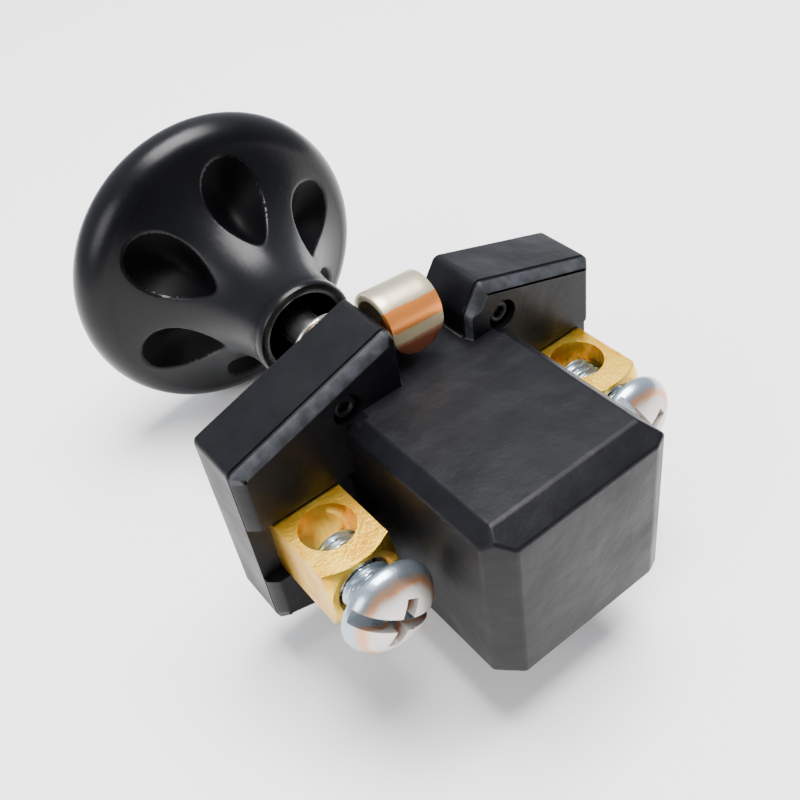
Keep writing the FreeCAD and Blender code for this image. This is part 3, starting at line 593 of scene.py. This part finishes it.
def thread(outer, depth, pitch, low, high, fade=0.7):
    """A shape function that cuts a rounded thread between two places along the axis."""
    def shape(r, y, turn):
        if abs(r - outer) > 1e-6 or not low <= y <= high:
            return r, y
        phase = (y / pitch - turn / (2 * math.pi)) % 1.0
        tooth = 0.5 + 0.5 * math.cos(2 * math.pi * phase)
        ends = min(1.0, (y - low) / fade, (high - y) / fade)
        return r - depth * max(0.0, ends) * tooth ** 0.8, y
    return shape


# bright nickel plate
nickel = metal("nickel_plate", "#cfc9b9", 0.25, 900.0, 0.2)
steps = [-11.5 + 0.1 * k for k in range(107)]
outline = [(2.05, -11.9), (2.15, -12.0), (3.4, -12.0)] + [(4.0, y) for y in steps]
outline += [(3.6, -0.78), (3.6, 0.15), (4.2, 0.15), (4.2, 0.8), (5.4, 0.8), (5.4, 2.0), (2.05, 2.0), (2.05, -11.9)]
bush = revolve("bush", outline, 96, nickel, thread(4.0, 0.5, 1.0, -11.6, -0.8))
smooth(bush)
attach(bush, "housing")
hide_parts("threaded_bush")

# ------------------------------------------------------------------ terminals
# Two square brass bars with a turned, coned end round the clamp screw's hole and a wire hole from top to bottom.
# Each lies in a channel of the flange.

# finely ground brass, darker where it has aged, with a few brown specks
brass, tree = new_material("aged_brass")
place = add_node(tree, "ShaderNodeTexCoord").outputs["Object"]
grind = add_node(tree, "ShaderNodeTexNoise", {"Vector": place}, Scale=3600.0, Detail=4.0, Roughness=0.7)
tone = add_node(tree, "ShaderNodeTexNoise", {"Vector": place}, Scale=500.0, Detail=4.0)
tint = add_node(tree, "ShaderNodeValToRGB", {"Fac": tone.outputs["Fac"]})
tint.color_ramp.elements[0].position = 0.3
tint.color_ramp.elements[0].color = srgb("#d99a1c")
tint.color_ramp.elements[1].position = 0.7
tint.color_ramp.elements[1].color = srgb("#f0c94e")
dent = add_node(tree, "ShaderNodeBump", {"Height": grind.outputs["Fac"]}, Strength=0.65, Distance=0.00006)
spots = add_node(tree, "ShaderNodeTexVoronoi", {"Vector": place}, Scale=330.0, Randomness=1.0)
dot = add_node(tree, "ShaderNodeMath", {0: spots.outputs["Distance"], 1: 0.07}, operation="LESS_THAN")
rust = add_node(tree, "ShaderNodeMix", {0: dot.outputs[0], 6: tint.outputs["Color"], 7: srgb("#6a2f18")},
                data_type="RGBA")
end_material(tree, add_node(tree, "ShaderNodeBsdfPrincipled",
                            {"Base Color": rust.outputs[2], "Normal": dent.outputs["Normal"]},
                            Metallic=1.0, Roughness=0.3))

terminal_across, terminal_drop = 14.58, 0.64
for side, name in ((1, "left"), (-1, "right")):
    bar = box("terminal", (-3.4, 6.5, -3.3), (3.4, 15.9, 3.3), brass)
    cone = revolve("cone", [(0, 5.0), (7.0, 5.0), (7.0, 13.265), (3.45, 15.75), (0, 15.75)], 128, brass)
    combine(bar, cone, "INTERSECT")
    combine(bar, cylinder("wire", (0, 10.9, 0), 2.55, 9.0, "z", brass, 96), "DIFFERENCE")
    tapped = revolve("tapped", [(0, 8.6), (2.5, 8.6), (2.5, 15.4), (2.9, 15.8), (2.9, 17.0), (0, 17.0)], 96, brass)
    combine(bar, tapped, "DIFFERENCE")
    bevel(bar, 0.09, 2, 28)
    bar.data.transform(Matrix.Translation(Vector((side * terminal_across, 0, -terminal_drop)) * MM))
    smooth(bar, 30)
    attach(bar, "housing")
    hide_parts("terminal_block_" + name)

# ------------------------------------------------------------------ clamp screws
# Zinc-plated M5 screws: thread, domed head, and a driver slot crossed by a tapered cross recess.
# Each turns in its bar's tapped end to clamp a wire, and the two stand out by unequal amounts.

# zinc plate, dull and orange on the crown, with specks of rust
zinc, tree = new_material("zinc_plate")
place = add_node(tree, "ShaderNodeTexCoord").outputs["Object"]
cloud = add_node(tree, "ShaderNodeTexNoise", {"Vector": place}, Scale=420.0, Detail=4.0)
lift = add_node(tree, "ShaderNodeAttribute", attribute_name="lift")
uneven = add_node(tree, "ShaderNodeMath", {0: cloud.outputs["Fac"], 1: 0.3, 2: lift.outputs["Fac"]},
                  operation="MULTIPLY_ADD")
tint = add_node(tree, "ShaderNodeValToRGB", {"Fac": uneven.outputs[0]})
for at, text in ((0.72, "#c2a08a"), (0.80, "#d39a72"), (0.90, "#cfc9c1")):
    tint.color_ramp.elements.new(at).color = srgb(text)
tint.color_ramp.elements[0].position = 0.62
tint.color_ramp.elements[0].color = srgb("#a3afb8")
tint.color_ramp.elements[-1].color = srgb("#d5d1ca")
dull = add_node(tree, "ShaderNodeMapRange",
                {"Value": uneven.outputs[0], "From Min": 0.65, "From Max": 0.95, "To Min": 0.26, "To Max": 0.5})
grain = add_node(tree, "ShaderNodeTexNoise", {"Vector": place}, Scale=1900.0, Detail=3.0)
dent = add_node(tree, "ShaderNodeBump", {"Height": grain.outputs["Fac"]}, Strength=0.3, Distance=0.00005)
spots = add_node(tree, "ShaderNodeTexVoronoi", {"Vector": place}, Scale=300.0, Randomness=1.0)
dot = add_node(tree, "ShaderNodeMath", {0: spots.outputs["Distance"], 1: 0.065}, operation="LESS_THAN")
rust = add_node(tree, "ShaderNodeMix", {0: dot.outputs[0], 6: tint.outputs["Color"], 7: srgb("#5a3020")},
                data_type="RGBA")
end_material(tree, add_node(tree, "ShaderNodeBsdfPrincipled",
                            {"Base Color": rust.outputs[2], "Normal": dent.outputs["Normal"],
                             "Roughness": dull.outputs["Result"]}, Metallic=0.9))


def wedge(long, wide, top, bottom, turn, material):
    """A tapered cutter for a driver recess, its long side turned from +X towards +Z."""
    mesh = bpy.data.meshes.new("recess")
    spread = [(long / 2, top), (long / 2 * 0.45, bottom)]
    verts = []
    for reach, y in spread:
        narrow = wide / 2 if y == top else wide / 2 * 0.7
        verts += [(-reach, y, -narrow), (reach, y, -narrow), (reach, y, narrow), (-reach, y, narrow)]
    mesh.from_pydata([Vector(v) * MM for v in verts], [],
                     [(0, 1, 2, 3), (7, 6, 5, 4), (0, 4, 5, 1), (1, 5, 6, 2), (2, 6, 7, 3), (3, 7, 4, 0)])
    mesh.transform(Matrix.Rotation(-turn, 4, "Y"))
    made = new_object("recess", mesh, material)
    fix_normals(made)
    return made


for side, name, seat, slot_turn in ((1, "left", 18.1, 35), (-1, "right", 17.1, 62)):
    steps = [seat - 6.9 + 0.08 * k for k in range(87)]
    outline = [(0, seat - 7.2), (2.0, seat - 7.2)] + [(2.45, y) for y in steps] + [(2.45, seat)]
    outline += [(4.1, seat), (4.35, seat + 0.12), (4.45, seat + 0.4)]
    for k in range(1, 15):
        lift = math.pi / 2 * k / 14
        outline.append((4.45 * math.cos(lift), seat + 0.4 + 2.6 * math.sin(lift)))
    screw = revolve("clamp_screw", outline[:-1] + [(0, seat + 3.0)], 128, zinc,
                    thread(2.45, 0.42, 0.8, seat - 7.0, seat - 0.1, 0.4))
    turn = math.radians(slot_turn)
    slot = box("slot", (-6, seat + 0.75, -0.65), (6, seat + 5, 0.65), zinc)
    slot.data.transform(Matrix.Rotation(-turn, 4, "Y"))
    combine(screw, slot, "DIFFERENCE")
    combine(screw, wedge(5.6, 1.3, seat + 3.4, seat + 0.6, turn, zinc), "DIFFERENCE")
    combine(screw, wedge(5.6, 1.3, seat + 3.4, seat + 0.6, turn + math.pi / 2, zinc), "DIFFERENCE")
    screw.data.transform(Matrix.Translation(Vector((side * terminal_across, 0, -terminal_drop)) * MM))
    smooth(screw, 32)
    lift = screw.data.attributes.new("lift", "FLOAT", "POINT")
    for vert in screw.data.vertices:
        lift.data[vert.index].value = max(0.0, (vert.co.y / MM - seat) / 3.0)
    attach(screw, name + "_screw")
    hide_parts("clamp_screw_" + name)

# ------------------------------------------------------------------ knob
# Glossy black phenolic trumpet with six teardrop finger hollows, a rounded rim, a low front
# dome and a stepped mouth that passes over the bush when the knob is pushed.
# polished phenolic, its gloss a little uneven
gloss, tree = new_material("knob_phenolic")
place = add_node(tree, "ShaderNodeTexCoord").outputs["Object"]
cloud = add_node(tree, "ShaderNodeTexNoise", {"Vector": place}, Scale=120.0, Detail=4.0)
rough = add_node(tree, "ShaderNodeMapRange",
                 {"Value": cloud.outputs["Fac"], "From Min": 0.3, "From Max": 0.7, "To Min": 0.24, "To Max": 0.36})
grain = add_node(tree, "ShaderNodeTexNoise", {"Vector": place}, Scale=1700.0, Detail=3.0)
dent = add_node(tree, "ShaderNodeBump", {"Height": grain.outputs["Fac"]}, Strength=0.22, Distance=0.00006)
end_material(tree, add_node(tree, "ShaderNodeBsdfPrincipled",
                            {"Roughness": rough.outputs["Result"], "Normal": dent.outputs["Normal"]},
                            Base_Color=srgb("#040406"), Specular_IOR_Level=0.2))

# the hollows take a darker, rougher and less shiny black than the rest of the knob: painted shade in the recesses
hollow_shade_black, tree = new_material("hollow_shade_phenolic")
place = add_node(tree, "ShaderNodeTexCoord").outputs["Object"]
skin = add_node(tree, "ShaderNodeTexNoise", {"Vector": place}, Scale=1300.0, Detail=4.0)
dent = add_node(tree, "ShaderNodeBump", {"Height": skin.outputs["Fac"]}, Strength=0.3, Distance=0.00006)
end_material(tree, add_node(tree, "ShaderNodeBsdfPrincipled", {"Normal": dent.outputs["Normal"]},
                            Base_Color=srgb("#020203"), Roughness=0.5, Specular_IOR_Level=0.05))

profile = [(0, -20.2), (4.4, -20.2), (4.4, -15.5), (4.5, -15.2), (4.85, -15.1), (4.95, -14.85), (5.3, -14.8),
           (5.62, -14.9), (5.78, -15.15), (5.8, -15.5)]
# the trumpet's flare, the rim's rear and front halves, then the front dome
flare, first, last = 150, math.pi - math.radians(4.33), math.pi + math.radians(69.3)
for k in range(flare + 1):
    turn = first + (last - first) * k / flare
    profile.append((20.405 + 14.647 * math.cos(turn), -16.909 + 14.647 * math.sin(turn)))
for k in range(1, 19):
    turn = math.radians(74.8) * (1 - k / 18)
    profile.append((14.277 + 3.523 * math.cos(turn), -34.0 + 3.523 * math.sin(turn)))
for k in range(1, 17):
    turn = math.radians(83.7) * k / 16
    profile.append((14.883 + 2.917 * math.cos(turn), -34.0 - 2.917 * math.sin(turn)))
for k in range(1, 17):
    radius = 15.2 * (1 - k / 16)
    profile.append((radius, 30.203 - math.sqrt(68.803 ** 2 - radius ** 2)))

knob = revolve("knob", profile, 400, gloss)
# a second slot for the painted shade in the finger hollows
knob.data.materials.append(hollow_shade_black)
tree, given, result = geometry_tree("finger_hollows", ["Hollows", "First turn", "Centre", "Behind", "Half length",
                                                       "Half width", "Widening", "Depth", "Lean", "Softness"])
size_of = given.outputs
at = add_node(tree, "ShaderNodeSeparateXYZ", {0: add_node(tree, "GeometryNodeInputPosition").outputs[0]}).outputs
flat = add_node(tree, "ShaderNodeCombineXYZ", {"X": at["X"], "Z": at["Z"]})
radius = add_node(tree, "ShaderNodeVectorMath", {0: flat.outputs[0]}, operation="LENGTH").outputs["Value"]
outward = add_node(tree, "ShaderNodeVectorMath", {0: flat.outputs[0]}, operation="NORMALIZE").outputs[0]
lean_in = add_node(tree, "ShaderNodeMath", {0: size_of["Lean"]}, operation="COSINE").outputs[0]
lean_out = add_node(tree, "ShaderNodeMath", {0: size_of["Lean"]}, operation="SINE").outputs[0]
# how far round from the nearest hollow's middle, as a distance
half_share = add_node(tree, "ShaderNodeMath", {0: math.pi, 1: size_of["Hollows"]}, operation="DIVIDE").outputs[0]
less = add_node(tree, "ShaderNodeMath", {0: 0.0, 1: half_share}, operation="SUBTRACT").outputs[0]
turn = add_node(tree, "ShaderNodeMath", {0: at["Z"], 1: at["X"]}, operation="ARCTAN2").outputs[0]
turn = add_node(tree, "ShaderNodeMath", {0: turn, 1: size_of["First turn"]}, operation="SUBTRACT").outputs[0]
away = add_node(tree, "ShaderNodeMath", {0: turn, 1: half_share, 2: less}, operation="WRAP").outputs[0]
away = add_node(tree, "ShaderNodeMath", {0: away}, operation="SINE").outputs[0]
aside = add_node(tree, "ShaderNodeMath", {0: away, 1: radius}, operation="MULTIPLY").outputs[0]
# how far along the hollow's length, from the middle and in half lengths
out = add_node(tree, "ShaderNodeMath", {0: radius, 1: size_of["Centre"]}, operation="SUBTRACT").outputs[0]
out = add_node(tree, "ShaderNodeMath", {0: out, 1: lean_out}, operation="MULTIPLY").outputs[0]
front = add_node(tree, "ShaderNodeMath", {0: size_of["Behind"], 1: at["Y"]}, operation="SUBTRACT").outputs[0]
along = add_node(tree, "ShaderNodeMath", {0: front, 1: lean_in, 2: out}, operation="MULTIPLY_ADD").outputs[0]
along = add_node(tree, "ShaderNodeMath", {0: along, 1: size_of["Half length"]}, operation="DIVIDE").outputs[0]
wide = add_node(tree, "ShaderNodeMath", {0: along, 1: size_of["Widening"], 2: 1.0}, operation="MULTIPLY_ADD")
wide = add_node(tree, "ShaderNodeMath", {0: wide.outputs[0], 1: size_of["Half width"]}, operation="MULTIPLY")
wide = wide.outputs[0]
# one at the hollow's middle, nothing at its edge, with the edge rounded over
share = add_node(tree, "ShaderNodeMath", {0: aside, 1: wide}, operation="DIVIDE").outputs[0]
share = add_node(tree, "ShaderNodeMath", {0: share, 1: share}, operation="MULTIPLY").outputs[0]
share = add_node(tree, "ShaderNodeMath", {0: along, 1: along, 2: share}, operation="MULTIPLY_ADD").outputs[0]
inside = add_node(tree, "ShaderNodeMath", {0: 1.0, 1: share}, operation="SUBTRACT").outputs[0]
root = add_node(tree, "ShaderNodeMath", {0: inside, 1: inside, 2: size_of["Softness"]}, operation="MULTIPLY_ADD")
root = add_node(tree, "ShaderNodeMath", {0: root.outputs[0]}, operation="SQRT").outputs[0]
deep = add_node(tree, "ShaderNodeMath", {0: inside, 1: root}, operation="ADD").outputs[0]
deep = add_node(tree, "ShaderNodeMath", {0: deep, 1: 0.5}, operation="MULTIPLY").outputs[0]
deep = add_node(tree, "ShaderNodeMath", {0: deep, 1: size_of["Depth"]}, operation="MULTIPLY").outputs[0]
# only the trumpet's rear skin is hollowed
skin = add_node(tree, "FunctionNodeCompare", {0: inside, 1: -0.4}, operation="GREATER_THAN").outputs[0]
for reading, kind, limit in ((at["Y"], "LESS_THAN", -19 * MM), (at["Y"], "GREATER_THAN", -31.2 * MM),
                             (radius, "GREATER_THAN", 5.9 * MM)):
    test = add_node(tree, "FunctionNodeCompare", {0: reading, 1: limit}, operation=kind).outputs[0]
    skin = add_node(tree, "FunctionNodeBooleanMath", {0: skin, 1: test}, operation="AND").outputs[0]
across = add_node(tree, "ShaderNodeVectorMath", {0: outward, "Scale": lean_in}, operation="SCALE").outputs[0]
back = add_node(tree, "ShaderNodeCombineXYZ", {"Y": lean_out}).outputs[0]
inward = add_node(tree, "ShaderNodeVectorMath", {0: across, 1: back}, operation="ADD").outputs[0]
less = add_node(tree, "ShaderNodeMath", {0: 0.0, 1: deep}, operation="SUBTRACT").outputs[0]
shift = add_node(tree, "ShaderNodeVectorMath", {0: inward, "Scale": less}, operation="SCALE").outputs[0]
# the hollows' darker material, a painted shade, is marked before the points move
edge = add_node(tree, "FunctionNodeCompare", {0: inside, 1: 0.06}, operation="GREATER_THAN").outputs[0]
dull = add_node(tree, "FunctionNodeBooleanMath", {0: skin, 1: edge}, operation="AND").outputs[0]
marked = add_node(tree, "GeometryNodeSetMaterial",
                  {"Geometry": given.outputs["Piece"], "Selection": dull, "Material": size_of["Material"]})
pressed = add_node(tree, "GeometryNodeSetPosition",
                   {"Geometry": marked.outputs[0], "Selection": skin, "Offset": shift})
tree.links.new(pressed.outputs[0], result.inputs[0])
run_tree(knob, tree, {"Hollows": 6.0, "First turn": math.radians(-21.4), "Centre": 10.8 * MM, "Behind": -26.8 * MM,
                      "Half length": 5.35 * MM, "Half width": 3.25 * MM, "Widening": 0.42, "Depth": 2.8 * MM,
                      "Lean": math.radians(46), "Softness": 0.0012, "Material": hollow_shade_black})
smooth(knob, 40)
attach(knob, "plunger")
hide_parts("knob")

# ------------------------------------------------------------------ pieces kept from the CAD
# The steel spindle and its fasteners, the copper contacts, the paper laminate insulation and
# the knob's turned brass insert keep their CAD shapes and only take real materials.
steel = metal("bright_steel", "#b9babb", 0.3, 1200.0, 0.15)
copper = metal("copper_sheet", "#c58a62", 0.35, 800.0, 0.2)
turned_brass = metal("turned_brass", "#c9a258", 0.3, 1200.0, 0.2)
# brown paper laminate, mottled by its fibres
laminate, tree = new_material("paper_laminate")
place = add_node(tree, "ShaderNodeTexCoord").outputs["Object"]
fibre = add_node(tree, "ShaderNodeTexNoise", {"Vector": place}, Scale=900.0, Detail=5.0)
tint = add_node(tree, "ShaderNodeValToRGB", {"Fac": fibre.outputs["Fac"]})
tint.color_ramp.elements[0].color = srgb("#4a2e1b")
tint.color_ramp.elements[1].color = srgb("#7a5131")
end_material(tree, add_node(tree, "ShaderNodeBsdfPrincipled", {"Base Color": tint.outputs["Color"]},
                            Roughness=0.55))
finishes = {"spindle": steel, "stop_clip": steel, "bridge_washer": steel, "bridge_nut": steel,
            "contact_bridge": copper, "fixed_contact_left": copper, "fixed_contact_right": copper,
            "blade_carrier": laminate, "bridge_insulator": laminate, "insulating_plate": laminate,
            "knob_insert": turned_brass}
for name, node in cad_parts.items():
    finish = finishes.get(name)
    if finish:
        node.data.materials.clear()
        node.data.materials.append(finish)
